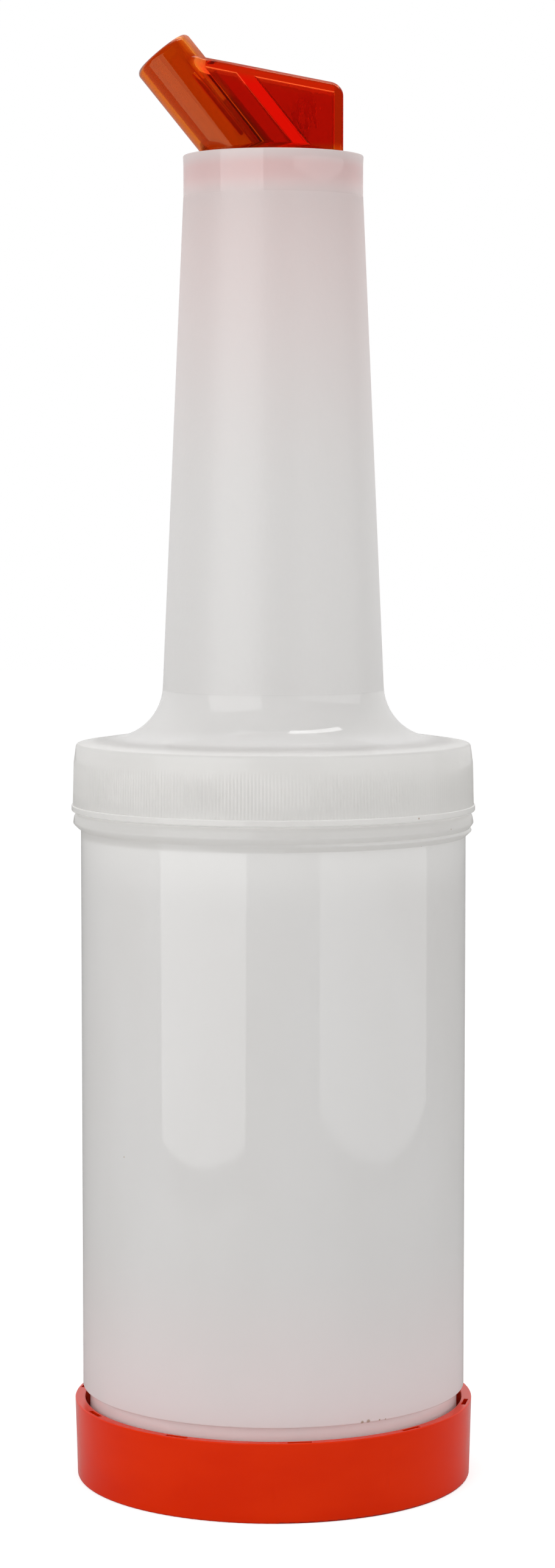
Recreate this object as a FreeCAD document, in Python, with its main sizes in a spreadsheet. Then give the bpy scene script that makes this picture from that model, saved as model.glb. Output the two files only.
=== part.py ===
"""Store-and-pour bottle: a round jar, its screw-on pouring neck, a push-in spout and a
storage cap that is worn under the jar while the bottle is in use.

Millimetres.  +Z is up, the origin is the middle of the base cap's underside, the front is -Y
and the spout leans towards -X.  Every piece is turned about Z, so the outlines below are
given as (radius, level) pairs.
"""

import FreeCAD
import Part
import math
import os
import re
import Sketcher
from FreeCAD import Placement, Rotation, Vector

# How near two lengths are to count as the same, in millimetres.
TOLERANCE = 1e-3

# Driving sizes: every value that can be set by itself.
SIZES = {
    # base cap
    "cap_height": 17.8,
    "cap_floor": 2.0,
    "cap_wall": 2.3,
    "cap_taper": 0.5,
    "cap_foot_round": 0.55,
    "cap_rim_round": 0.25,
    "cap_corner_round": 1.5,
    "slot_count": 10,
    "slot_length": 5.3,
    "slot_width": 1.0,
    "slot_depth": 1.4,
    "slot_turn": 7.5,
    # jar
    "jar_radius": 43.3,
    "jar_wall": 1.6,
    "jar_floor": 1.8,
    "foot_height": 18.65,
    "foot_inset": 1.6,
    "foot_gap": 1.1,
    "foot_round": 2.0,
    "step_round": 0.4,
    "body_height": 125.2,
    "lower_ring_rise": 1.4,
    "notch_rise": 0.95,
    "upper_ring_rise": 1.75,
    "collar_rise": 0.6,
    "lower_ring_offset": 1.3,
    "notch_offset": 1.85,
    "upper_ring_offset": 3.0,
    "collar_offset": 4.75,
    "collar_slope": 0.5,
    "ring_round": 0.3,
    "mouth_inset": 1.8,
    "mouth_height": 13.8,
    # neck with its screw skirt
    "thread_gap": 1.68,
    "skirt_draft": 0.22,
    "skirt_crown": 0.58,
    "skirt_crown_drop": 4.4,
    "skirt_wall": 1.7,
    "skirt_gap": 0.6,
    "skirt_lip_rise": 0.3,
    "skirt_lip_height": 1.2,
    "skirt_lip_round": 0.35,
    "shoulder_edge": 1.72,
    "shoulder_slope": 8.0,
    "shoulder_round": 0.8,
    "seat_margin": 0.7,
    "flare_radius": 25.25,
    "flare_round": 12.1,
    "neck_height": 132.4,
    "neck_wall": 1.6,
    "band_radius": 19.98,
    "band_wall": 1.9,
    "band_height": 8.6,
    "band_lip": 0.1,
    "band_lip_height": 2.2,
    "ledge_depth": 7.0,
    "ledge_width": 1.5,
    "ledge_height": 1.5,
    "ledge_slope_height": 2.0,
    # spout
    "stopper_fit": 0.1,
    "stopper_drop": 0.4,
    "stopper_round": 0.5,
    "stopper_wall": 1.6,
    "dome_rise": 3.0,
    "tube_radius": 7.05,
    "tube_wall": 1.5,
    "tube_lean": 39.0,
    "tube_inset": 2.4,
    "tube_length": 29.25,
    "tube_end_round": 1.4,
    "tube_mouth_round": 0.35,
    "fin_thickness": 12.6,
    "fin_inset": 2.5,
    "fin_nose_drop": 1.74,
    "fin_slope": 11.0,
    "fin_root": 2.0,
    "fin_round": 2.4,
    "fin_corner_round": 3.3,
    "fin_wall": 1.6,
    "fin_end_wall": 1.9,
    "fin_top_wall": 2.0,
    "vent_width": 3.0,
    "web_width": 2.4,
    "wide_foot": 1.6,
    "chamber_round": 0.6,
    "groove_offset": 2.3,
    "groove_length": 17.3,
    "groove_width": 1.0,
    "groove_depth": 0.7,
    "groove_start": 8.6,
}

# Places worked out from the sizes.  A fit is written as the mating size and a clearance.
PLACES = {
    # levels
    "jar_base": "cap_floor",
    "jar_floor_top": "jar_base + jar_floor",
    "step_level": "jar_base + foot_height",
    "ring_base": "step_level + body_height",
    "lower_ring_level": "ring_base + lower_ring_offset",
    "notch_level": "ring_base + notch_offset",
    "upper_ring_level": "ring_base + upper_ring_offset",
    "collar_level": "ring_base + collar_offset",
    "collar_top": "collar_level + collar_slope",
    "seat_level": "collar_top + mouth_height",
    "step_inner_level": "step_level + jar_wall",
    "ring_inner_level": "ring_base + jar_wall",
    "collar_inner_level": "collar_top - jar_wall",
    "skirt_base": "collar_top + skirt_gap",
    "skirt_lip_level": "skirt_base + skirt_lip_height",
    "shoulder_level": "seat_level + shoulder_edge",
    "skirt_crown_level": "shoulder_level - skirt_crown_drop",
    "rim_level": "seat_level + neck_height",
    "band_base": "rim_level - band_height",
    "lip_base": "rim_level - band_lip_height",
    "ledge_level": "rim_level - ledge_depth",
    "ledge_base": "ledge_level - ledge_height",
    "ledge_slope_base": "ledge_base - ledge_slope_height",
    "stopper_top": "rim_level - stopper_drop",
    "dome_top": "rim_level + dome_rise",
    "stopper_roof_side": "stopper_top - stopper_wall",
    "stopper_roof": "dome_top - stopper_wall",
    # radii
    "axis": "0",
    "foot_radius": "jar_radius - foot_inset",
    "cap_inner_radius": "foot_radius + foot_gap",
    "cap_radius": "cap_inner_radius + cap_wall",
    "cap_foot_radius": "cap_radius - cap_taper",
    "slot_near": "cap_inner_radius + (cap_wall - slot_width) / 2",
    "slot_far": "slot_near + slot_width",
    "slot_half": "slot_length / 2",
    "foot_inner_radius": "foot_radius - jar_wall",
    "jar_inner_radius": "jar_radius - jar_wall",
    "lower_ring_radius": "jar_radius + lower_ring_rise",
    "notch_radius": "jar_radius + notch_rise",
    "upper_ring_radius": "jar_radius + upper_ring_rise",
    "collar_radius": "jar_radius + collar_rise",
    "mouth_radius": "jar_radius - mouth_inset",
    "mouth_inner_radius": "mouth_radius - jar_wall",
    "skirt_inner_radius": "mouth_radius + thread_gap",
    "skirt_radius": "skirt_inner_radius + skirt_wall",
    "skirt_base_radius": "skirt_radius + skirt_draft",
    "skirt_lip_radius": "skirt_base_radius + skirt_lip_rise",
    "shoulder_radius": "skirt_radius - skirt_crown",
    "seat_inner_radius": "mouth_inner_radius - seat_margin",
    "flare_level": "shoulder_level + (shoulder_radius - flare_radius) * tan(shoulder_slope * 1deg)",
    "cone_slope": "(flare_radius - band_radius) / (band_base - flare_level)",
    "flare_inner_radius": "flare_radius - neck_wall",
    "flare_inner_level": "flare_level - neck_wall",
    "flare_inner_round": "flare_round + neck_wall",
    "lip_radius": "band_radius + band_lip",
    "bore_radius": "band_radius - band_wall",
    "ledge_radius": "bore_radius - ledge_width",
    "cone_inner_top": "band_radius + (band_base - ledge_slope_base) * cone_slope - neck_wall",
    "stopper_radius": "bore_radius - stopper_fit",
    "stopper_inner_radius": "stopper_radius - stopper_wall",
    "tube_bore": "tube_radius - tube_wall",
    # the spout's leaning tube and the fin behind it
    "lean_tan": "tan(tube_lean * 1deg)",
    "lean_cos": "cos(tube_lean * 1deg)",
    "lean_sin": "sin(tube_lean * 1deg)",
    "slope_tan": "tan(fin_slope * 1deg)",
    "tube_offset": "stopper_radius - tube_inset - tube_radius / lean_cos",
    "tube_root": "tube_radius * lean_tan / 2",
    "tube_through": "tube_length + tube_offset / lean_cos",
    "fin_base": "stopper_top - stopper_wall / 2",
    "fin_reach": "stopper_radius - fin_inset",
    "nose_distance": "tube_length - fin_nose_drop",
    "nose_level": "rim_level + nose_distance * lean_cos + fin_root * lean_sin",
    "nose_x": "fin_root * lean_cos - tube_offset - nose_distance * lean_sin",
    "nose_foot_x": "nose_x + (nose_level - fin_base) * lean_tan",
    "fin_top": "nose_level - (fin_reach - nose_x) * slope_tan",
    "chamber_thickness": "fin_thickness - 2 * fin_wall",
    "chamber_end": "fin_reach - fin_end_wall",
    "chamber_base": "stopper_roof_side",
    "roof_end": "fin_top - fin_top_wall / cos(fin_slope * 1deg)",
    "roof_end_level": "roof_end + fin_end_wall * slope_tan",
    "vent_inner": "tube_radius / 2",
    "vent_start": "tube_radius",
    "vent_end": "vent_start + vent_width",
    "chamber_start": "vent_end + web_width",
    "groove_top": "tube_length - groove_start - groove_width / 2",
    "groove_foot": "groove_top - groove_length + groove_width",
    "groove_sag": "tube_radius - sqrt(tube_radius * tube_radius - groove_offset * groove_offset)",
    "groove_cut": "groove_sag + groove_depth",
}


def leaning_x(offset, level):
    """Formula for where a line beside the tube, `offset` from its axis, is at a level."""
    return f"{offset} / lean_cos - tube_offset - ({level} - rim_level) * lean_tan"


def leaning_roof(offset):
    """Formula for the level where such a line meets the chambers' sloping roof."""
    return (f"rim_level + (roof_end - rim_level + (fin_reach + tube_offset - {offset} / lean_cos)"
            " * slope_tan) / (1 - lean_tan * slope_tan)")


PLACES.update({
    "vent_inner_roof": leaning_roof("vent_inner"),
    "vent_inner_roof_x": leaning_x("vent_inner", "vent_inner_roof"),
    "vent_inner_dome_x": leaning_x("vent_inner", "dome_top"),
    "vent_near_dome_x": leaning_x("vent_start", "dome_top"),
    "vent_near_base_x": leaning_x("vent_start", "chamber_base"),
    "vent_far_roof": leaning_roof("vent_end"),
    "vent_far_roof_x": leaning_x("vent_end", "vent_far_roof"),
    "vent_far_dome_x": leaning_x("vent_end", "dome_top"),
    "vent_far_base_x": leaning_x("vent_end", "chamber_base"),
    "chamber_near_roof": leaning_roof("chamber_start"),
    "chamber_near_roof_x": leaning_x("chamber_start", "chamber_near_roof"),
    "chamber_near_base_x": leaning_x("chamber_start", "chamber_base"),
    "wide_foot_x": "min(chamber_near_base_x; chamber_end - wide_foot)",
})


def make_sheet(doc):
    """Lists the driving sizes in a spreadsheet, one named cell each."""
    sheet = doc.addObject("Spreadsheet::Sheet", "Size")
    for row, (name, value) in enumerate(SIZES.items(), start=1):
        sheet.set(f"A{row}", name)
        sheet.set(f"B{row}", str(value))
        sheet.setAlias(f"B{row}", name)
    doc.recompute()
    return sheet


def bound(text):
    """A formula over the named values, written as FreeCAD binds it."""
    def prefixed(match):
        word = match.group(0)
        if word in SIZES:
            return "Size." + word
        if word in PLACES:
            return "Places." + word
        return word
    return re.sub(r"[a-z_]+", prefixed, text)


def make_places(doc):
    """Keeps the worked-out levels and radii as one object of bound values."""
    places = doc.addObject("App::VarSet", "Places")
    for name in PLACES:
        places.addProperty("App::PropertyFloat", name)
    for name, formula in PLACES.items():
        places.setExpression(name, bound(formula))
    doc.recompute()
    return places


def value(doc, name):
    """The present number behind a named value, or minus it where the name starts with -."""
    sign = -1 if name.startswith("-") else 1
    plain = name.lstrip("-")
    owner = doc.Size if plain in SIZES else doc.Places
    return sign * float(getattr(owner, plain))


def make_body(doc, name):
    """An empty body whose label names its file."""
    body = doc.addObject("PartDesign::Body", name.title().replace("_", ""))
    body.Label = name
    return body


def origin_part(body, role):
    """One of the body's own origin planes or axes."""
    return next(part for part in body.Origin.OriginFeatures if part.Role == role)


def add_sketch(body, name, plane="XZ_Plane"):
    """A sketch on one of the body's origin planes."""
    sketch = body.newObject("Sketcher::SketchObject", name)
    sketch.AttachmentSupport = [(origin_part(body, plane), "")]
    sketch.MapMode = "FlatFace"
    return sketch


def pin(sketch, geometry, end, place):
    """Fixes a point of the sketch at a pair of named values."""
    for kind, name in zip(("DistanceX", "DistanceY"), place):
        number = value(sketch.Document, name)
        index = sketch.addConstraint(Sketcher.Constraint(kind, -1, 1, geometry, end, number))
        sketch.setExpression(f"Constraints[{index}]", bound(name))


def draw_polygon(sketch, corners):
    """A closed outline of straight lines through the named corners."""
    points = [Vector(*(value(sketch.Document, name) for name in corner)) for corner in corners]
    first = sketch.GeometryCount
    count = len(points)
    for index, point in enumerate(points):
        sketch.addGeometry(Part.LineSegment(point, points[(index + 1) % count]))
    for index in range(count):
        following = first + (index + 1) % count
        sketch.addConstraint(Sketcher.Constraint("Coincident", first + index, 2, following, 1))
        pin(sketch, first + index, 1, corners[index])


def draw_circle(sketch, radius):
    """A circle about the sketch's own origin."""
    number = value(sketch.Document, radius)
    circle = sketch.addGeometry(Part.Circle(Vector(), Vector(0, 0, 1), number))
    sketch.addConstraint(Sketcher.Constraint("Coincident", circle, 3, -1, 1))
    index = sketch.addConstraint(Sketcher.Constraint("Radius", circle, number))
    sketch.setExpression(f"Constraints[{index}]", bound(radius))


def turn(body, sketch, kind="Revolution"):
    """Turns an outline right round the Z axis, adding it or cutting it away."""
    feature = body.newObject("PartDesign::" + kind, kind + sketch.Name)
    feature.Profile = sketch
    feature.ReferenceAxis = (sketch, ["V_Axis"])
    feature.Angle = 360
    sketch.Document.recompute()
    return feature


def extrude(body, sketch, kind, length, symmetric=False):
    """Pads or pockets a sketch by a named length."""
    feature = body.newObject("PartDesign::" + kind, kind + sketch.Name)
    feature.Profile = sketch
    feature.setExpression("Length", bound(length))
    if symmetric:
        feature.SideType = "Symmetric"
    sketch.Document.recompute()
    return feature


def near(first, second):
    """Whether two lengths agree within the tolerance."""
    return abs(first - second) < TOLERANCE


def is_circle(edge, radius):
    """Whether an edge is a full circle of a radius."""
    return edge.isClosed() and near(edge.Length, 2 * math.pi * radius)


def circles_at(feature, radius, level):
    """The edges of a feature that run round the Z axis at a named radius and level."""
    doc = feature.Document
    return [
        f"Edge{number}"
        for number, edge in enumerate(feature.Shape.Edges, start=1)
        if is_circle(edge, value(doc, radius)) and near(edge.CenterOfMass.z, value(doc, level))
    ]


def circles_above(feature, radius, level):
    """The full circles of a named radius whose middle is above a named level."""
    doc = feature.Document
    return [
        f"Edge{number}"
        for number, edge in enumerate(feature.Shape.Edges, start=1)
        if is_circle(edge, value(doc, radius)) and edge.CenterOfMass.z > value(doc, level)
    ]


def round_edges(body, edges, radius):
    """Rounds the named edges of the body's last feature."""
    base = body.Tip
    fillet = body.newObject("PartDesign::Fillet", "Round")
    fillet.Base = (base, edges)
    fillet.setExpression("Radius", bound(radius))
    base.Document.recompute()
    return fillet


def round_circle(body, radius, level, size):
    """Rounds the circular edge at a named radius and level."""
    return round_edges(body, circles_at(body.Tip, radius, level), size)


def make_base_cap(doc):
    """The storage cap: a shallow cup with a row of small slots in its rim."""
    body = make_body(doc, "base_cap")
    outline = add_sketch(body, "CapOutline")
    draw_polygon(outline, [
        ("axis", "axis"),
        ("cap_foot_radius", "axis"),
        ("cap_radius", "cap_height"),
        ("cap_inner_radius", "cap_height"),
        ("cap_inner_radius", "cap_floor"),
        ("axis", "cap_floor"),
    ])
    turn(body, outline)
    round_circle(body, "cap_foot_radius", "axis", "cap_foot_round")
    round_circle(body, "cap_inner_radius", "cap_floor", "cap_corner_round")
    round_circle(body, "cap_radius", "cap_height", "cap_rim_round")
    round_circle(body, "cap_inner_radius", "cap_height", "cap_rim_round")
    cut_rim_slots(body)
    return body


def cut_rim_slots(body):
    """The slots: one is cut beside the front and repeated evenly round the rim."""
    doc = body.Document
    sketch = add_sketch(body, "RimSlot", "XY_Plane")
    sketch.AttachmentOffset = Placement(Vector(), Rotation(Vector(0, 0, 1), -90))
    sketch.setExpression(".AttachmentOffset.Base.z", bound("cap_height"))
    sketch.setExpression(".AttachmentOffset.Rotation.Angle", bound("slot_turn - 90"))
    draw_polygon(sketch, [
        ("slot_near", "-slot_half"),
        ("slot_far", "-slot_half"),
        ("slot_far", "slot_half"),
        ("slot_near", "slot_half"),
    ])
    pocket = extrude(body, sketch, "Pocket", "slot_depth")
    pattern = body.newObject("PartDesign::PolarPattern", "RimSlots")
    pattern.Originals = [pocket]
    pattern.Axis = (origin_part(body, "Z_Axis"), [""])
    pattern.Angle = 360
    pattern.setExpression("Occurrences", bound("slot_count"))
    body.Tip = pattern
    doc.recompute()


def make_jar(doc):
    """The jar: a stepped-in foot, a straight body, two snap rings and a narrower mouth."""
    body = make_body(doc, "jar")
    outline = add_sketch(body, "JarOutline")
    draw_polygon(outline, [
        ("axis", "jar_base"),
        ("foot_radius", "jar_base"),
        ("foot_radius", "step_level"),
        ("jar_radius", "step_level"),
        ("jar_radius", "ring_base"),
        ("lower_ring_radius", "lower_ring_level"),
        ("notch_radius", "notch_level"),
        ("upper_ring_radius", "upper_ring_level"),
        ("collar_radius", "collar_level"),
        ("mouth_radius", "collar_top"),
        ("mouth_radius", "seat_level"),
        ("mouth_inner_radius", "seat_level"),
        ("mouth_inner_radius", "collar_inner_level"),
        ("jar_inner_radius", "ring_inner_level"),
        ("jar_inner_radius", "step_inner_level"),
        ("foot_inner_radius", "step_inner_level"),
        ("foot_inner_radius", "jar_floor_top"),
        ("axis", "jar_floor_top"),
    ])
    turn(body, outline)
    round_circle(body, "foot_radius", "jar_base", "foot_round")
    round_circle(body, "jar_radius", "step_level", "step_round")
    round_circle(body, "lower_ring_radius", "lower_ring_level", "ring_round")
    round_circle(body, "upper_ring_radius", "upper_ring_level", "ring_round")
    return body


def make_neck(doc):
    """The pouring neck: a screw skirt, a flared shoulder and a slim cone up to the rim."""
    body = make_body(doc, "neck")
    outline = add_sketch(body, "NeckOutline")
    draw_polygon(outline, [
        ("lip_radius", "rim_level"),
        ("band_radius", "lip_base"),
        ("band_radius", "band_base"),
        ("flare_radius", "flare_level"),
        ("shoulder_radius", "shoulder_level"),
        ("skirt_radius", "skirt_crown_level"),
        ("skirt_base_radius", "skirt_lip_level"),
        ("skirt_lip_radius", "skirt_lip_level"),
        ("skirt_lip_radius", "skirt_base"),
        ("skirt_inner_radius", "skirt_base"),
        ("skirt_inner_radius", "seat_level"),
        ("seat_inner_radius", "seat_level"),
        ("flare_inner_radius", "flare_inner_level"),
        ("cone_inner_top", "ledge_slope_base"),
        ("ledge_radius", "ledge_base"),
        ("ledge_radius", "ledge_level"),
        ("bore_radius", "ledge_level"),
        ("bore_radius", "rim_level"),
    ])
    turn(body, outline)
    round_circle(body, "flare_radius", "flare_level", "flare_round")
    round_circle(body, "flare_inner_radius", "flare_inner_level", "flare_inner_round")
    round_circle(body, "shoulder_radius", "shoulder_level", "shoulder_round")
    round_circle(body, "skirt_lip_radius", "skirt_base", "skirt_lip_round")
    return body


def draw_dome_outline(sketch, radius, base, side, top):
    """Half a section of a plug under a dome: the dome's arc is centred on the Z axis."""
    doc = sketch.Document
    corners = [("axis", base), (radius, base), (radius, side)]
    foot, heel, edge = (Vector(*(value(doc, name) for name in corner)) for corner in corners)
    peak = Vector(0, value(doc, top))
    rise = peak.y - edge.y
    dome_radius = (edge.x ** 2 + rise ** 2) / (2 * rise)
    circle = Part.Circle(Vector(0, peak.y - dome_radius), Vector(0, 0, 1), dome_radius)
    sketch.addGeometry(Part.LineSegment(foot, heel))
    sketch.addGeometry(Part.LineSegment(heel, edge))
    sketch.addGeometry(Part.ArcOfCircle(circle, circle.parameter(edge), circle.parameter(peak)))
    sketch.addGeometry(Part.LineSegment(peak, foot))
    for first, second in (((0, 2), (1, 1)), ((1, 2), (2, 1)), ((2, 2), (3, 1)), ((3, 2), (0, 1))):
        sketch.addConstraint(Sketcher.Constraint("Coincident", *first, *second))
    sketch.addConstraint(Sketcher.Constraint("PointOnObject", 2, 3, -2))
    for geometry, corner in enumerate(corners):
        pin(sketch, geometry, 1, corner)
    pin(sketch, 3, 1, ("axis", top))


def tube_sketch(body, name, radius, distance):
    """A circle square to the leaning tube, at a named distance up the tube from the rim."""
    sketch = add_sketch(body, name, "XY_Plane")
    sketch.AttachmentOffset = Placement(Vector(), Rotation(Vector(0, 1, 0), -1))
    sketch.setExpression(".AttachmentOffset.Rotation.Angle", bound("-tube_lean"))
    along = f"({distance})"
    sketch.setExpression(".AttachmentOffset.Base.x",
                         bound(f"-tube_offset - {along} * sin(tube_lean * 1deg)"))
    sketch.setExpression(".AttachmentOffset.Base.z", bound(f"rim_level + {along} * lean_cos"))
    draw_circle(sketch, radius)
    return sketch


def edges_of_fin(feature):
    """The fin's long edges: along its sloping top and down its end, on both sides."""
    doc = feature.Document
    side = value(doc, "fin_thickness") / 2
    names = []
    for number, edge in enumerate(feature.Shape.Edges, start=1):
        box = edge.BoundBox
        on_side = near(abs(box.Center.y), side) and box.YLength < TOLERANCE
        above = box.ZMin > value(doc, "fin_base") + TOLERANCE or near(box.XMin, value(doc, "fin_reach"))
        if on_side and above:
            names.append(f"Edge{number}")
    return names


def edges_across(feature, x, level):
    """The edges of a feature that run along Y at a named place."""
    doc = feature.Document
    names = []
    for number, edge in enumerate(feature.Shape.Edges, start=1):
        box = edge.BoundBox
        flat = box.XLength < TOLERANCE and box.ZLength < TOLERANCE
        if flat and near(box.Center.x, value(doc, x)) and near(box.Center.z, value(doc, level)):
            names.append(f"Edge{number}")
    return names


def add_fin(body):
    """The flat fin behind the tube, with rounded edges."""
    sketch = add_sketch(body, "Fin")
    draw_polygon(sketch, [
        ("nose_foot_x", "fin_base"),
        ("fin_reach", "fin_base"),
        ("fin_reach", "fin_top"),
        ("nose_x", "nose_level"),
    ])
    extrude(body, sketch, "Pad", "fin_thickness", symmetric=True)
    round_edges(body, edges_across(body.Tip, "fin_reach", "fin_top"), "fin_corner_round")
    round_edges(body, edges_of_fin(body.Tip), "fin_round")


def add_tube(body):
    """The leaning pour tube, solid for now, with a rounded end."""
    sketch = tube_sketch(body, "Tube", "tube_radius", "-tube_root")
    extrude(body, sketch, "Pad", "tube_root + tube_length")
    round_edges(body, circles_above(body.Tip, "tube_radius", "rim_level"), "tube_end_round")


def add_stopper(body):
    """The domed plug that seats in the neck, hollow underneath."""
    plug = add_sketch(body, "Stopper")
    draw_dome_outline(plug, "stopper_radius", "ledge_level", "stopper_top", "dome_top")
    turn(body, plug)
    round_circle(body, "stopper_radius", "ledge_level", "stopper_round")
    hollow = add_sketch(body, "StopperHollow")
    draw_dome_outline(hollow, "stopper_inner_radius", "ledge_base", "stopper_roof_side", "stopper_roof")
    turn(body, hollow, "Groove")


def cut_bore(body):
    """The pour channel, from the tube's end down into the stopper's hollow."""
    sketch = tube_sketch(body, "Bore", "tube_bore", "tube_length")
    extrude(body, sketch, "Pocket", "tube_through")
    round_edges(body, circles_above(body.Tip, "tube_bore", "rim_level"), "tube_mouth_round")


def cut_beside_tube(body):
    """The narrow chamber above the dome, cut while the tube is not there yet.

    It starts inside the tube's place, so that the tube's own round wall closes it.
    """
    sketch = add_sketch(body, "BesideTube")
    draw_polygon(sketch, [
        ("vent_inner_dome_x", "dome_top"),
        ("vent_far_dome_x", "dome_top"),
        ("vent_far_roof_x", "vent_far_roof"),
        ("vent_inner_roof_x", "vent_inner_roof"),
    ])
    extrude(body, sketch, "Pocket", "chamber_thickness", symmetric=True)


def cut_chambers(body):
    """The foot of the narrow chamber, through the dome, and the wide chamber, open below."""
    narrow = add_sketch(body, "NarrowFoot")
    draw_polygon(narrow, [
        ("vent_near_base_x", "chamber_base"),
        ("vent_far_base_x", "chamber_base"),
        ("vent_far_dome_x", "dome_top"),
        ("vent_near_dome_x", "dome_top"),
    ])
    extrude(body, narrow, "Pocket", "chamber_thickness", symmetric=True)
    wide = add_sketch(body, "WideChamber")
    draw_polygon(wide, [
        ("wide_foot_x", "chamber_base"),
        ("chamber_end", "chamber_base"),
        ("chamber_end", "roof_end_level"),
        ("chamber_near_roof_x", "chamber_near_roof"),
    ])
    extrude(body, wide, "Pocket", "chamber_thickness", symmetric=True)


def round_chambers(body):
    """Rounds the chambers' roofs and flat walls where they meet the fin's sides."""
    doc = body.Document
    side = value(doc, "chamber_thickness") / 2
    names = []
    for number, edge in enumerate(body.Tip.Shape.Edges, start=1):
        box = edge.BoundBox
        on_side = near(abs(box.Center.y), side) and box.YLength < TOLERANCE
        if on_side and box.ZMax > value(doc, "dome_top") + TOLERANCE and not on_tube(doc, edge):
            names.append(f"Edge{number}")
    round_edges(body, names, "chamber_round")


def on_tube(doc, edge):
    """Whether an edge lies along the leaning tube's outside."""
    foot = Vector(-value(doc, "tube_offset"), 0, value(doc, "rim_level"))
    lean = math.radians(value(doc, "tube_lean"))
    axis = Vector(-math.sin(lean), 0, math.cos(lean))
    ends = [vertex.Point.distanceToLine(foot, axis) for vertex in edge.Vertexes]
    return all(near(distance, value(doc, "tube_radius")) for distance in ends)


def cut_side_groove(body):
    """The long shallow groove with round ends on the tube's front, beside the fin."""
    doc = body.Document
    sketch = add_sketch(body, "SideGroove")
    sketch.AttachmentOffset = Placement(Vector(), Rotation(Vector(0, 0, 1), 1))
    sketch.setExpression(".AttachmentOffset.Rotation.Angle", bound("tube_lean"))
    sketch.setExpression(".AttachmentOffset.Base.x", bound("-tube_offset"))
    sketch.setExpression(".AttachmentOffset.Base.y", bound("rim_level"))
    sketch.setExpression(".AttachmentOffset.Base.z", bound("tube_radius"))
    middle = value(doc, "groove_offset")
    ends = [Vector(middle, value(doc, "groove_foot")), Vector(middle, value(doc, "groove_top"))]
    half = value(doc, "groove_width") / 2
    side = Vector(half, 0)
    lower = Part.ArcOfCircle(Part.Circle(ends[0], Vector(0, 0, 1), half), math.pi, 2 * math.pi)
    upper = Part.ArcOfCircle(Part.Circle(ends[1], Vector(0, 0, 1), half), 0, math.pi)
    sketch.addGeometry(lower)
    sketch.addGeometry(Part.LineSegment(ends[0] + side, ends[1] + side))
    sketch.addGeometry(upper)
    sketch.addGeometry(Part.LineSegment(ends[1] - side, ends[0] - side))
    for first, second in (((0, 2), (1, 1)), ((1, 2), (2, 1)), ((2, 2), (3, 1)), ((3, 2), (0, 1))):
        sketch.addConstraint(Sketcher.Constraint("Tangent", *first, *second))
    pin(sketch, 0, 3, ("groove_offset", "groove_foot"))
    pin(sketch, 2, 3, ("groove_offset", "groove_top"))
    index = sketch.addConstraint(Sketcher.Constraint("Radius", 0, half))
    sketch.setExpression(f"Constraints[{index}]", bound("groove_width / 2"))
    extrude(body, sketch, "Pocket", "groove_cut")


def make_spout(doc):
    """The push-in spout."""
    body = make_body(doc, "spout")
    add_fin(body)
    cut_beside_tube(body)
    add_tube(body)
    add_stopper(body)
    cut_bore(body)
    cut_chambers(body)
    round_chambers(body)
    cut_side_groove(body)
    return body


def check(doc):
    """Stops the build where an object failed or a piece isn't one sound solid."""
    for item in doc.Objects:
        if {"Invalid", "Error"} & set(item.State):
            raise RuntimeError(f"{item.Name} failed: {item.State}")
    for body in doc.findObjects("PartDesign::Body"):
        shape = body.Shape
        if shape.isNull() or not shape.isValid() or len(shape.Solids) != 1:
            raise RuntimeError(f"{body.Label} isn't one valid solid")


def main():
    doc = FreeCAD.newDocument("PourBottle")
    make_sheet(doc)
    make_places(doc)
    bodies = [make_base_cap(doc), make_jar(doc), make_neck(doc), make_spout(doc)]
    doc.recompute()
    check(doc)
    os.makedirs("parts", exist_ok=True)
    for body in bodies:
        body.Shape.exportStep(f"parts/{body.Label}.step")
        print(f"{body.Label}: {body.Shape.Volume / 1000:.2f} cm3")


main()
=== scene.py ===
"""Looks for the store-and-pour bottle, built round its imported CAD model.  Metres."""

import bmesh
import bpy
import math
from mathutils import Euler, Matrix, Vector


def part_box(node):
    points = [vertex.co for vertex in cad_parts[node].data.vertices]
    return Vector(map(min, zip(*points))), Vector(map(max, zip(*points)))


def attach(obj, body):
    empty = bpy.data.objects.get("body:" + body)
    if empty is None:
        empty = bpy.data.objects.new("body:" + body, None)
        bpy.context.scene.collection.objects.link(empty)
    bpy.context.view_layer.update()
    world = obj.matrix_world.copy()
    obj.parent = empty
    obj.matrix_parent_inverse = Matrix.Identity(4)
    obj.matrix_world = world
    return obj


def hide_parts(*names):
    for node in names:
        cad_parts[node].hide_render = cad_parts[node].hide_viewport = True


MM = 0.001

# The jar, in mm.
JAR_RADIUS = 43.3
JAR_WALL = 1.6
JAR_FLOOR = 1.8
FOOT_RADIUS = 41.7
FOOT_HEIGHT = 18.65
BODY_HEIGHT = 125.2
LOWER_RING_RISE = 1.4
NOTCH_RISE = 0.95
UPPER_RING_RISE = 1.75
RING_TOP_RISE = 1.35
MOUTH_RADIUS = 41.5
JAR_SEGMENTS = 288
JAR_ROUND_STEPS = 6

# The neck, in mm.
SKIRT_RADIUS = 45.1
SKIRT_INSIDE = 43.18
SKIRT_DRAFT = 0.22
LIP_RADIUS = 45.4
LIP_HEIGHT = 1.2
CROWN_HEIGHT = 4.4
SHOULDER_RADIUS = 44.30
SHOULDER_EDGE = 1.72
SHOULDER_SLOPE = math.radians(8)
FLARE_RADIUS = 25.25
FLARE_ROUND = 12.1
NECK_HEIGHT = 132.4
BAND_RADIUS = 19.98
BAND_WALL = 1.9
BAND_HEIGHT = 8.6
BAND_LIP_HEIGHT = 2.2
LEDGE_DEPTH = 7
NECK_ROUND_STEPS = 12
RIB_COUNT = 360
RIB_DEPTH = 0.14
RIB_SEGMENTS = 4
WORN_ANGLE = math.radians(345)

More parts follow.
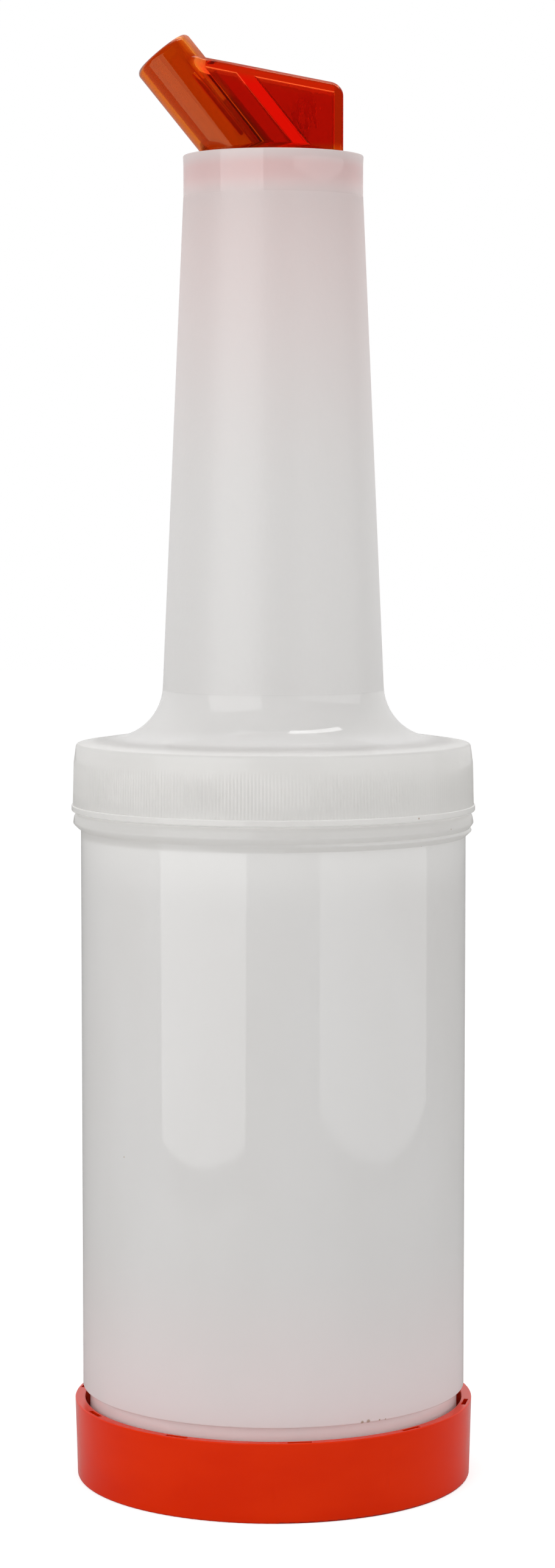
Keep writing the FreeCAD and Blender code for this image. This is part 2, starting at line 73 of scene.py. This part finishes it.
# The spout, in mm.
TUBE_LEAN = math.radians(39)
TUBE_OFFSET = 6.508
FIN_SLOPE = math.radians(11)
FIN_REACH = 15.48
FIN_END_TOP = 15.3
FIN_HALF = 6.3
FIN_CORNER = 3.3
FIN_ROUND = 2.4
END_ROUND_SHARE = 0.35
TOP_ROUND_SHARE = 0.8

# A round up to this size, in mm, needs few steps.
SMALL_ROUND = 1.1
SMALL_ROUND_STEPS = 5

MILK = (0.80, 0.792, 0.782, 1)
MILK_CLOUD = (0.82, 0.815, 0.808, 1)
MILK_MATT = (0.78, 0.773, 0.765, 1)
# Painted light: the whiter colour painted where a second wall is behind, lifting the shade there.
MILK_PAINTED_LIFT = (0.865, 0.86, 0.85, 1)
# Painted light: the paler colour painted on surfaces that face up.
MILK_PAINTED_TOP_LIGHT = (0.95, 0.945, 0.94, 1)
DIRT = (0.40, 0.26, 0.15, 1)
WHITE = (1, 1, 1, 1)
PLASTIC_IOR = 1.5

FLOOR_HALF = 4
LAMP_AIM = 0.16
CAMERA_PLACE = (0.00094, -0.80837, 0.21986)
CAMERA_DIP = math.radians(4.427)
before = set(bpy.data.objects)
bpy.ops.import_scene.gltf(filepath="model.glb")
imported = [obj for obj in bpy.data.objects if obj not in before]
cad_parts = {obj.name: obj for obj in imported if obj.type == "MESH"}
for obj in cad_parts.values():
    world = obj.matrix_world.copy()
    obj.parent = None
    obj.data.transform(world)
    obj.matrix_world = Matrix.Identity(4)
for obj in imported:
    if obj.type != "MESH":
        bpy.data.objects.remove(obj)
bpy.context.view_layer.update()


# ---------------------------------------------------------------- shader helpers

def new_material(name):
    """An empty node material and its tree."""
    material = bpy.data.materials.new(name)
    material.use_nodes = True
    material.node_tree.nodes.clear()
    return material, material.node_tree


def add(tree, kind, inputs=None, **settings):
    """A shader node with its settings and its inputs, which are values or sockets."""
    made = tree.nodes.new("ShaderNode" + kind)
    for key, setting in settings.items():
        setattr(made, key, setting)
    for key, item in (inputs or {}).items():
        if isinstance(item, bpy.types.NodeSocket):
            tree.links.new(item, made.inputs[key])
        else:
            made.inputs[key].default_value = item
    return made


def calc(tree, operation, first, second):
    """The output of a math node."""
    return add(tree, "Math", {0: first, 1: second}, operation=operation).outputs[0]


def times(tree, first, second):
    """The product of two values."""
    return calc(tree, "MULTIPLY", first, second)


def ramp(tree, value, start, end, low=0.0, high=1.0):
    """A smooth step: low where value is at start, high where it is at end."""
    made = add(tree, "MapRange", {"Value": value, 1: start, 2: end, 3: low, 4: high},
               interpolation_type="SMOOTHSTEP")
    return made.outputs["Result"]


def within(tree, value, low, high, fade):
    """1 where value is between low and high, with soft ends inside them, else 0."""
    return times(tree, ramp(tree, value, low, low + fade), ramp(tree, value, high, high - fade))


def blend(tree, factor, first, second):
    """Two colours mixed by a factor."""
    return add(tree, "Mix", {0: factor, 6: first, 7: second}, data_type="RGBA").outputs[2]


def noise_at(tree, place, scale, detail, roughness, stretch=(1, 1, 1)):
    """Noise over a place, with a stretch along each axis."""
    spread = add(tree, "Mapping", {"Vector": place, "Scale": stretch}).outputs[0]
    made = add(tree, "TexNoise", {"Vector": spread, "Scale": scale, "Detail": detail,
                                  "Roughness": roughness})
    return made.outputs[0]


def distance(tree, place, spot):
    """How far a place is from a spot."""
    return add(tree, "VectorMath", {0: place, 1: spot}, operation="DISTANCE").outputs["Value"]


def along(tree, place, direction):
    """How far a place lies along a direction."""
    return add(tree, "VectorMath", {0: place, 1: direction}, operation="DOT_PRODUCT").outputs["Value"]


def bump(tree, height, depth):
    """The normal of a surface that stands out by height times depth, in metres."""
    return add(tree, "Bump", {"Height": height, "Distance": depth, "Strength": 1.0}).outputs[0]


def finish_material(tree, shader, volume=None):
    """Joins the shader, and the volume if there is one, to the material's output."""
    output = add(tree, "OutputMaterial", {"Surface": shader.outputs[0]})
    if volume:
        tree.links.new(volume.outputs[0], output.inputs["Volume"])


# ---------------------------------------------------------------- mesh helpers

def rounded(corners, large_steps):
    """An outline of (radius, level[, round]) corners with its rounds worked out as arcs."""
    points = []
    for index, corner in enumerate(corners):
        here = Vector(corner[:2])
        size = corner[2] if len(corner) > 2 else 0
        if not size:
            points.append(here)
            continue
        before = (Vector(corners[index - 1][:2]) - here).normalized()
        after = (Vector(corners[(index + 1) % len(corners)][:2]) - here).normalized()
        half = before.angle(after) / 2
        reach = size / math.tan(half)
        centre = here + (before + after).normalized() * size / math.sin(half)
        start = here + before * reach - centre
        end = here + after * reach - centre
        sweep = start.angle_signed(end)
        steps = large_steps if size > SMALL_ROUND else SMALL_ROUND_STEPS
        for step in range(steps + 1):
            turned = start.copy()
            turned.rotate(Matrix.Rotation(-sweep * step / steps, 2))
            points.append(centre + turned)
    return points


def divided(outline, parts, chosen):
    """The outline with each stretch that chosen(first, second) picks cut into equal parts."""
    points = []
    for first, second in zip(outline, outline[1:]):
        points.append(first)
        if chosen(first, second):
            points.extend(first.lerp(second, share / parts) for share in range(1, parts))
    return points + [outline[-1]]


def lathe(name, outline, segments, shift):
    """A turned mesh.  shift(radius, level, angle) gives each point's own radius, in mm."""
    vertices = []
    faces = []
    rows = []
    for radius, level in outline:
        if radius < 1e-6:
            rows.append([len(vertices)] * segments)
            vertices.append((0, 0, level * MM))
            continue
        row = []
        for index in range(segments):
            angle = 2 * math.pi * index / segments
            own = shift(radius, level, angle)
            row.append(len(vertices))
            vertices.append((own * math.cos(angle) * MM, own * math.sin(angle) * MM, level * MM))
        rows.append(row)
    for lower, upper in zip(rows, rows[1:]):
        for index in range(segments):
            following = (index + 1) % segments
            corners = [lower[index], lower[following], upper[following], upper[index]]
            face = list(dict.fromkeys(corners))
            if len(face) > 2:
                faces.append(face)
    return new_mesh(name, vertices, faces)


def new_mesh(name, vertices, faces, smooth_below=35):
    """A mesh object, smooth where its faces meet at less than an angle in degrees."""
    mesh = bpy.data.meshes.new(name)
    mesh.from_pydata(vertices, [], faces)
    mesh.polygons.foreach_set("use_smooth", [True] * len(mesh.polygons))
    mesh.set_sharp_from_angle(angle=math.radians(smooth_below))
    piece = bpy.data.objects.new(name, mesh)
    bpy.context.scene.collection.objects.link(piece)
    return piece


def smoothstep(value, start, end):
    """0 before start and 1 after end, with a smooth rise between them."""
    share = min(1.0, max(0.0, (value - start) / (end - start)))
    return share * share * (3 - 2 * share)


# ---------------------------------------------------------------- materials

def milky(name, single, doubled, painted_light, specks, peel=None):
    """Natural polyethylene, milky, and painted whiter where a second wall is behind it: painted light that
    stands for light through both walls and lifts the shade near the rings, the skirt and the flare.

    single and doubled are the levels where that wall begins to show and where it shows in full.
    The function after doubled takes (tree, place, level, colour) and gives the colour with painted light,
    which stands for what glows through from other pieces.
    specks holds (degrees right of the front, radius, level, size) of each speck of dirt, in mm.
    peel is the lowest and the highest level of a matt orange-peel finish.
    """
    material, tree = new_material(name)
    spots = add(tree, "TexCoord").outputs
    place = spots["Object"]
    level = add(tree, "SeparateXYZ", {0: place}).outputs[2]
    upward = add(tree, "SeparateXYZ", {0: spots["Normal"]}).outputs[2]
    matt = within(tree, level, *peel, 0.8 * MM) if peel else 0.0
    second_wall = ramp(tree, level, single, doubled)
    cloud = noise_at(tree, place, 28, 3, 0.55, (1, 1, 0.35))
    colour = blend(tree, ramp(tree, cloud, 0.35, 0.65), MILK, MILK_CLOUD)
    colour = blend(tree, matt, colour, MILK_MATT)
    # Painted light: whiter where a second wall is behind, lifting the shade there.
    colour = blend(tree, second_wall, colour, MILK_PAINTED_LIFT)
    # Painted light: surfaces that face up are painted paler.
    colour = blend(tree, ramp(tree, upward, 0.75, 1.0), colour, MILK_PAINTED_TOP_LIGHT)
    # Painted light: what glows through from other pieces is painted into the colour.
    colour = painted_light(tree, place, level, colour)
    colour = speckled(tree, place, colour, specks)
    rough = calc(tree, "ADD", times(tree, matt, 0.28), ramp(tree, cloud, 0.3, 0.7, 0.03, 0.05))
    shader = add(tree, "BsdfPrincipled", {
        "Base Color": colour, "Roughness": rough, "Normal": milky_bump(tree, place, matt),
        "IOR": PLASTIC_IOR, "Specular IOR Level": 0.8})
    through = add(tree, "BsdfTranslucent", {"Color": colour})
    share = ramp(tree, second_wall, 0.97, 1.0, 0.4, 0.65)
    finish_material(tree, add(tree, "MixShader", {0: share, 1: shader.outputs[0], 2: through.outputs[0]}))
    return material


def speckled(tree, place, colour, specks):
    """The colour with its specks of dirt."""
    dirt = 0.0
    for azimuth, radius, level, size in specks:
        turn = math.radians(azimuth)
        spot = Vector((radius * math.sin(turn), -radius * math.cos(turn), level)) * MM
        away = distance(tree, place, spot)
        dirt = calc(tree, "MAXIMUM", dirt, ramp(tree, away, size * MM, 0.4 * size * MM, 0, 0.75))
    return blend(tree, dirt, colour, DIRT)


def milky_bump(tree, place, matt):
    """Shallow waves everywhere, and a fine grain where the plastic is matt."""
    wave = noise_at(tree, place, 55, 1, 0.4, (1, 1, 0.3))
    fine = noise_at(tree, place, 1100, 3, 0.6, (1, 1, 0.6))
    grain = times(tree, fine, calc(tree, "ADD", times(tree, matt, 0.9), 0.04))
    return bump(tree, calc(tree, "ADD", grain, times(tree, wave, 0.5)), 0.00006)


def patchy(tree, place, amount):
    """The amount, a little less in patches."""
    patch = noise_at(tree, place, 45, 2, 0.5, (1, 1, 0.8))
    return times(tree, amount, ramp(tree, patch, 0.25, 0.7, 0.8, 1))


def orange_plastic():
    """The storage cap's glossy orange plastic, with a few faint scratches."""
    material, tree = new_material("cap_plastic")
    place = add(tree, "TexCoord").outputs["Object"]
    cloud = noise_at(tree, place, 40, 3, 0.5, (1, 1, 2))
    colour = blend(tree, ramp(tree, cloud, 0.3, 0.7), (0.66, 0.021, 0.0004, 1), (0.70, 0.026, 0.0006, 1))
    scratch = ramp(tree, noise_at(tree, place, 300, 4, 0.7, (1, 1, 0.1)), 0.66, 0.74)
    wave = noise_at(tree, place, 45, 1, 0.5, (1, 1, 4))
    height = calc(tree, "ADD", times(tree, scratch, -0.3), wave)
    finish_material(tree, add(tree, "BsdfPrincipled", {
        "Base Color": colour, "Roughness": ramp(tree, cloud, 0.35, 0.75, 0.16, 0.24),
        "Normal": bump(tree, height, 0.0001), "IOR": PLASTIC_IOR, "Specular IOR Level": 0.08}))
    return material


def clear_orange(rim):
    """The spout's clear orange plastic: redder and deeper in the fin, with scratches inside, a painted
    highlight along the fin's top edge, and painted light that turns the red brown-orange below that edge.
    """
    material, tree = new_material("spout_plastic")
    place = add(tree, "TexCoord").outputs["Object"]
    core = add(tree, "Attribute", attribute_name="core").outputs["Fac"]
    fin, edge, painted_highlight = fin_zones(tree, place, rim)
    across = add(tree, "SeparateXYZ", {0: place}).outputs[0]
    # The end wall's strip is browner: partly the wall seen edge-on, partly a painted soft reflection.
    end_wall = within(tree, across, (FIN_REACH - 2.18) * MM, (FIN_REACH - 0.08) * MM, 0.3 * MM)
    # Painted light: the red is painted brown-orange towards the fin's top edge, for light bent through its
    # round.
    red = blend(tree, edge, (0.84, 0.012, 0.002, 1), (0.50, 0.085, 0.004, 1))
    red = blend(tree, end_wall, red, (0.40, 0.05, 0.003, 1))
    colour = blend(tree, fin, (0.66, 0.20, 0.001, 1), red)
    colour = blend(tree, core, colour, (0.52, 0.24, 0.12, 1))
    marks = chamber_marks(tree, place, core, rim)
    wave = noise_at(tree, place, 90, 2, 0.5)
    fine = noise_at(tree, place, 700, 3, 0.6)
    height = calc(tree, "ADD", times(tree, marks, 2.5), wave)
    shader = add(tree, "BsdfPrincipled", {
        "Base Color": colour, "Roughness": ramp(tree, fine, 0.3, 0.7, 0.02, 0.04),
        "Normal": bump(tree, height, 0.00004), "IOR": PLASTIC_IOR, "Transmission Weight": 1.0,
        "Specular Tint": (1.0, 0.72, 0.35, 1)})
    inner = blend(tree, fin, (0.75, 0.11, 0.0, 1), (0.75, 0.03, 0.004, 1))
    # Painted highlight: a pale translucent share along the fin's top edge.
    body = add(tree, "BsdfTranslucent", {"Color": blend(tree, painted_highlight, inner, (1.0, 0.88, 0.88, 1))})
    share = calc(tree, "ADD", times(tree, marks, 0.5), 0.07)
    share = calc(tree, "MAXIMUM", share, times(tree, painted_highlight, 0.85))
    mixed = add(tree, "MixShader", {0: share, 1: shader.outputs[0], 2: body.outputs[0]})
    depth = add(tree, "VolumeAbsorption", {"Color": (0.97, 0.25, 0.0, 1), "Density": 140})
    finish_material(tree, mixed, depth)
    return material


def fin_zones(tree, place, rim):
    """Where the fin is, where its top edge is with its painted brown-orange light, and where that edge
    gets a painted highlight.
    """
    level = add(tree, "SeparateXYZ", {0: place}).outputs[2]
    rise = (math.sin(FIN_SLOPE), 0, math.cos(FIN_SLOPE))
    risen = along(tree, place, rise)
    top = ((rim + FIN_END_TOP) * rise[2] + FIN_REACH * rise[0]) * MM
    lean = (math.cos(TUBE_LEAN), 0, math.sin(TUBE_LEAN))
    aside = along(tree, place, lean)
    axis = (rim * lean[2] - TUBE_OFFSET * lean[0]) * MM
    # The fin lies behind the tube and above the dome, and its nose runs onto the tube below the top edge.
    behind = times(tree, ramp(tree, aside, axis + 4.8 * MM, axis + 6.4 * MM),
                   ramp(tree, level, (rim + 1.2) * MM, (rim + 2.6) * MM))
    nose = times(tree, ramp(tree, aside, axis + 3.2 * MM, axis + 4.8 * MM),
                 ramp(tree, risen, top - 8 * MM, top - 4 * MM))
    nose = times(tree, nose, ramp(tree, risen, top + 0.4 * MM, top - 0.2 * MM, 0, 0.9))
    # Painted light below the top edge, and a painted highlight on it.
    edge = ramp(tree, risen, top - 3.4 * MM, top - 0.2 * MM)
    painted_highlight = times(tree, ramp(tree, risen, top - 0.8 * MM, top - 0.35 * MM), behind)
    return calc(tree, "MAXIMUM", behind, nose), edge, painted_highlight


def chamber_marks(tree, place, core, rim):
    """Scratches on the walls of the chambers, in the middle of the fin."""
    scratch = noise_at(tree, place, 330, 4, 0.75, (1, 1, 0.3))
    away = distance(tree, place, (8 * MM, 0, (rim + 8) * MM))
    near = times(tree, core, ramp(tree, away, 9 * MM, 5 * MM))
    return times(tree, ramp(tree, scratch, 0.52, 0.58), near)


# ---------------------------------------------------------------- pieces

def build_jar():
    """The milky jar: foot, step, plain body, two rings and the mouth."""
    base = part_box("jar")[0].z / MM
    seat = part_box("jar")[1].z / MM
    step = base + FOOT_HEIGHT
    ring = step + BODY_HEIGHT
    outline = rounded([
        (0, base), (FOOT_RADIUS, base, 2.0), (FOOT_RADIUS, step), (JAR_RADIUS, step, 0.4),
        (JAR_RADIUS, ring - 0.3), (JAR_RADIUS, ring),
        (JAR_RADIUS + LOWER_RING_RISE, ring + 1.3, 0.3), (JAR_RADIUS + NOTCH_RISE, ring + 1.85),
        (JAR_RADIUS + UPPER_RING_RISE, ring + 3.0, 0.6), (JAR_RADIUS + RING_TOP_RISE, ring + 5.3, 1.25),
        (MOUTH_RADIUS, ring + 5.4), (MOUTH_RADIUS, seat),
        (MOUTH_RADIUS - JAR_WALL, seat), (MOUTH_RADIUS - JAR_WALL, ring + 3.65),
        (JAR_RADIUS - JAR_WALL, ring + 1.6), (JAR_RADIUS - JAR_WALL, step + JAR_WALL),
        (FOOT_RADIUS - JAR_WALL, step + JAR_WALL), (FOOT_RADIUS - JAR_WALL, base + JAR_FLOOR),
        (0, base + JAR_FLOOR)], JAR_ROUND_STEPS)
    outline = divided(outline, 12, lambda first, second: (
        min(first.x, second.x) > JAR_RADIUS - 0.3 and (second - first).length > 20))

    def fade_ring(radius, level, angle):
        """The lower ring runs out towards the left."""
        if radius <= JAR_RADIUS or level > ring + 2.6:
            return radius
        right = smoothstep(math.cos(angle), -0.7, 0.55)
        merged = JAR_RADIUS + UPPER_RING_RISE * smoothstep(level, ring + 1.2, ring + 2.8)
        return merged + (radius - merged) * right

    def painted_cap_light(tree, place, level, colour):
        """Painted light: the cap's orange light is painted low on the body, and the foot that stands in
        the cap is painted paler, lifting its shade.
        """
        low = patchy(tree, place, ramp(tree, level, (base + 60) * MM, base * MM))
        colour = blend(tree, low, colour, (0.93, 0.82, 0.82, 1))
        # Painted light: the foot in the cap is painted paler, lifting the shade there.
        foot = ramp(tree, level, (step + 0.35) * MM, (step - 0.65) * MM)
        return blend(tree, foot, colour, (1.0, 0.91, 0.905, 1))

    specks = [
        (48, JAR_RADIUS, ring + 0.1, 0.16), (60, JAR_RADIUS + 1.7, ring + 3.2, 0.22),
        (-49, JAR_RADIUS, step + 56.8, 0.22), (26.6, JAR_RADIUS, step + 0.3, 0.5),
        (28.6, JAR_RADIUS, step + 0.35, 0.6), (32.4, JAR_RADIUS, step + 0.3, 0.3),
        (34.5, JAR_RADIUS, step + 0.25, 0.25)]
    piece = lathe("jar_shell", outline, JAR_SEGMENTS, fade_ring)
    piece.data.materials.append(milky(
        "jar_plastic", (ring - 14) * MM, (ring + 1) * MM, painted_cap_light, specks))
    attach(piece, "root")
    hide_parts("jar")


def build_neck():
    """The milky neck: ribbed skirt, shoulder, flare and the band at its top."""
    skirt_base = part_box("neck")[0].z / MM
    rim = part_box("neck")[1].z / MM
    seat = rim - NECK_HEIGHT
    lip_base = skirt_base - 0.2
    lip_top = skirt_base + LIP_HEIGHT
    crown = seat + SHOULDER_EDGE
    flare = crown + (SHOULDER_RADIUS - FLARE_RADIUS) * math.tan(SHOULDER_SLOPE)
    band = rim - BAND_HEIGHT
    bore = BAND_RADIUS - BAND_WALL
    outline = rounded([
        (SKIRT_INSIDE, seat - 2), (SKIRT_INSIDE, skirt_base + 0.3), (SKIRT_INSIDE + 0.42, lip_base),
        (LIP_RADIUS, lip_base, 0.35), (LIP_RADIUS, lip_top, 0.15), (SKIRT_RADIUS, lip_top),
        (SKIRT_RADIUS - SKIRT_DRAFT, crown - CROWN_HEIGHT), (SHOULDER_RADIUS, crown, 0.8),
        (FLARE_RADIUS, flare, FLARE_ROUND), (BAND_RADIUS, band), (BAND_RADIUS, rim - BAND_LIP_HEIGHT),
        (BAND_RADIUS + 0.1, rim, 0.3), (bore, rim, 0.3), (bore, rim - LEDGE_DEPTH)], NECK_ROUND_STEPS)
    outline = divided(outline, 6, lambda first, second: (
        skirt_base + 1 < first.y < seat - 2 and first.x > SKIRT_RADIUS - 0.3))

    def ribs(radius, level, angle):
        """The skirt's fine upright ribs, which are shallower where they are worn."""
        if radius < SHOULDER_RADIUS - 0.3 or level < lip_top - 0.05 or level > seat - 1:
            return radius
        lower = smoothstep(level, lip_top, lip_top + 1.2)
        upper = 1 - smoothstep(level, seat - 3.2, seat - 1.4)
        worn = smoothstep(math.cos(angle - WORN_ANGLE), 0.75, 0.95)
        depth = RIB_DEPTH * lower * upper * (1 - 0.75 * worn)
        return radius - depth * (0.5 - 0.5 * math.cos(RIB_COUNT * angle))

    def painted_spout_light(tree, place, level, colour):
        """Painted light: the spout's orange light is painted on the band, where it shows through, and
        faintly far down the neck.
        """
        faint = ramp(tree, level, (band - 70) * MM, (band - 3) * MM, 0, 0.30)
        near = patchy(tree, place, ramp(tree, level, (rim - 10) * MM, (rim - 5) * MM))
        below_edge = ramp(tree, level, (band + 8) * MM, (band + 5.1) * MM)
        strong = times(tree, times(tree, near, below_edge), 0.60)
        return blend(tree, calc(tree, "ADD", faint, strong), colour, (0.86, 0.64, 0.63, 1))

    piece = lathe("neck_shell", outline, RIB_SEGMENTS * RIB_COUNT, ribs)
    piece.data.materials.append(milky(
        "neck_plastic", (seat + 14) * MM, (seat + 2) * MM, painted_spout_light,
        [(44, LIP_RADIUS, skirt_base + 0.6, 0.28)], ((seat + 13.2) * MM, band * MM)))
    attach(piece, "root")
    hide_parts("neck")


def build_cap():
    """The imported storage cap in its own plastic."""
    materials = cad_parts["base_cap"].data.materials
    materials.clear()
    materials.append(orange_plastic())


def build_spout():
    """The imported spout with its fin's edges reshaped, and its chambers marked for the material."""
    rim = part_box("neck")[1].z / MM
    work = bmesh.new()
    work.from_mesh(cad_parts["spout"].data)
    bmesh.ops.remove_doubles(work, verts=work.verts, dist=1e-7)
    long_edges = [edge for edge in work.edges if edge.calc_length() > 3 * MM
                  and all(on_fin_round(vertex.co / MM, rim) for vertex in edge.verts)]
    bmesh.ops.subdivide_edges(work, edges=long_edges, cuts=7, use_grid_fill=True)
    for vertex in work.verts:
        vertex.co = reshape_fin(vertex.co / MM, rim) * MM
    bmesh.ops.triangulate(work, faces=work.faces)
    vertices = [vertex.co.copy() for vertex in work.verts]
    faces = [[vertex.index for vertex in face.verts] for face in work.faces]
    work.free()
    piece = new_mesh("spout_shell", vertices, faces, 28)
    core = piece.data.attributes.new("core", "FLOAT", "POINT")
    for index, vertex in enumerate(vertices):
        core.data[index].value = float(in_chambers(vertex / MM, rim))
    piece.data.materials.append(clear_orange(rim))
    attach(piece, "root")
    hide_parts("spout")


def behind_tube(place, rim):
    """How far a place is behind the leaning tube's axis."""
    return (place.x + TUBE_OFFSET) * math.cos(TUBE_LEAN) + (place.z - rim) * math.sin(TUBE_LEAN)


def in_chambers(place, rim):
    """Whether a place is on the walls of the fin's hollow chambers."""
    inside = depth_in_fin(place, rim)[0] > 1.7 and behind_tube(place, rim) > 5
    return inside and abs(place.y) < 4.8 and place.z > rim - 1.5


def depth_in_fin(place, rim):
    """How far inside the fin's outline a place is, and the outline's outward normal there."""
    top_normal = Vector((math.sin(FIN_SLOPE), math.cos(FIN_SLOPE)))
    top = rim + FIN_END_TOP + (FIN_REACH - place.x) * math.tan(FIN_SLOPE)
    below_top = (top - place.z) * math.cos(FIN_SLOPE)
    before_end = FIN_REACH - place.x
    top_at_centre = rim + FIN_END_TOP + FIN_CORNER * math.tan(FIN_SLOPE)
    centre = Vector((FIN_REACH - FIN_CORNER, top_at_centre - FIN_CORNER / math.cos(FIN_SLOPE)))
    out = Vector((place.x, place.z)) - centre
    turn = math.atan2(out.y, out.x)
    if 0 < turn < math.pi / 2 - FIN_SLOPE:
        return FIN_CORNER - out.length, out.normalized()
    if below_top < before_end:
        return below_top, top_normal
    return before_end, Vector((1, 0))


def on_fin_round(place, rim):
    """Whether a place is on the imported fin's rounded edges."""
    depth = depth_in_fin(place, rim)[0]
    aside = FIN_HALF - abs(place.y)
    if max(depth, aside) > FIN_ROUND + 0.02:
        return False
    return abs(math.hypot(FIN_ROUND - depth, FIN_ROUND - aside) - FIN_ROUND) < 0.06


def reshape_fin(place, rim):
    """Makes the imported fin's even round tighter along its top, and tightest down its end."""
    if not on_fin_round(place, rim):
        return place
    depth, normal = depth_in_fin(place, rim)
    upward = smoothstep(normal.y, 0.1, 0.9)
    share = END_ROUND_SHARE + (TOP_ROUND_SHARE - END_ROUND_SHARE) * upward
    share = 1 + (share - 1) * smoothstep(behind_tube(place, rim), 7.4, 10.5)
    inward = (share - 1) * depth
    side = FIN_HALF - share * (FIN_HALF - abs(place.y))
    return Vector((place.x - normal.x * inward, math.copysign(side, place.y), place.z - normal.y * inward))


# ---------------------------------------------------------------- stage

def build_floor():
    """A grey floor that keeps the shadow, and glows so that it looks pale."""
    corners = [(-FLOOR_HALF, -FLOOR_HALF, 0), (FLOOR_HALF, -FLOOR_HALF, 0),
               (FLOOR_HALF, FLOOR_HALF, 0), (-FLOOR_HALF, FLOOR_HALF, 0)]
    floor = new_mesh("floor", corners, [(0, 1, 2, 3)])
    material, tree = new_material("floor")
    diffuse = add(tree, "BsdfDiffuse", {"Color": (0.55, 0.55, 0.55, 1)})
    glow = add(tree, "Emission", {"Color": WHITE, "Strength": times(tree, seen_directly(tree), 0.62)})
    finish_material(tree, add(tree, "AddShader", {0: diffuse.outputs[0], 1: glow.outputs[0]}))
    floor.data.materials.append(material)


def seen_directly(tree):
    """1 for the rays of the camera and those that pass through clear plastic, else 0."""
    paths = add(tree, "LightPath").outputs
    return calc(tree, "MAXIMUM", paths["Is Camera Ray"], paths["Is Transmission Ray"])


def build_world():
    """A white studio, darker in front of the bottle, and darker still where the bottle mirrors it."""
    world = bpy.data.worlds.new("studio")
    bpy.context.scene.world = world
    world.use_nodes = True
    tree = world.node_tree
    tree.nodes.clear()
    direction = add(tree, "TexCoord").outputs["Generated"]
    depth = add(tree, "SeparateXYZ", {0: direction}).outputs[1]
    lit = ramp(tree, depth, -0.75, 0.5, 0.46, 0.90)
    mirrored = ramp(tree, depth, 0.0, 0.8, 0.08, 1.0)
    glossy = add(tree, "LightPath").outputs["Is Glossy Ray"]
    around = add(tree, "MapRange", {"Value": glossy, 3: lit, 4: mirrored}).outputs[0]
    level = add(tree, "MapRange", {"Value": seen_directly(tree), 3: around, 4: 1.0}).outputs[0]
    background = add(tree, "Background", {"Color": WHITE, "Strength": level})
    tree.links.new(background.outputs[0], tree.nodes.new("ShaderNodeOutputWorld").inputs[0])


def add_softbox(name, azimuth, distance, level, width, height, power):
    """A softbox at an azimuth right of the front, in degrees, aimed at the bottle.

    Its distance, level and size are in metres, and its power is in watts.
    """
    lamp = bpy.data.lights.new(name, "AREA")
    lamp.shape = "RECTANGLE"
    lamp.size = width
    lamp.size_y = height
    lamp.energy = power
    holder = bpy.data.objects.new(name, lamp)
    angle = math.radians(azimuth)
    holder.location = (distance * math.sin(angle), -distance * math.cos(angle), level)
    direction = Vector((0, 0, LAMP_AIM)) - holder.location
    holder.rotation_euler = direction.to_track_quat("-Z", "Y").to_euler()
    bpy.context.scene.collection.objects.link(holder)
    return holder


def build_camera():
    """In front of the bottle, a little above its middle and looking slightly down."""
    data = bpy.data.cameras.new("camera")
    data.lens = 82.59
    data.sensor_width = 36
    data.clip_start = 0.01
    camera = bpy.data.objects.new("camera", data)
    turned = Euler((math.pi / 2 - CAMERA_DIP, 0, 0)).to_matrix().to_4x4()
    camera.matrix_world = Matrix.Translation(CAMERA_PLACE) @ turned
    bpy.context.scene.collection.objects.link(camera)
    bpy.context.scene.camera = camera


build_jar()
build_neck()
build_cap()
build_spout()
build_floor()
build_world()
add_softbox("key", -40.7, 0.35, 0.22, 0.36, 0.42, 0.73)
add_softbox("fill", 63, 0.40, 0.17, 0.60, 0.32, 0.60)
add_softbox("top", 180, 0.25, 1.00, 0.50, 0.50, 0.8)
add_softbox("front", 0, 0.30, 1.00, 0.50, 0.40, 1.6).visible_glossy = False
add_softbox("rim", 111, 0.30, 1.00, 0.14, 0.40, 0.8).visible_diffuse = False
build_camera()
bpy.context.scene.view_settings.view_transform = "Standard"
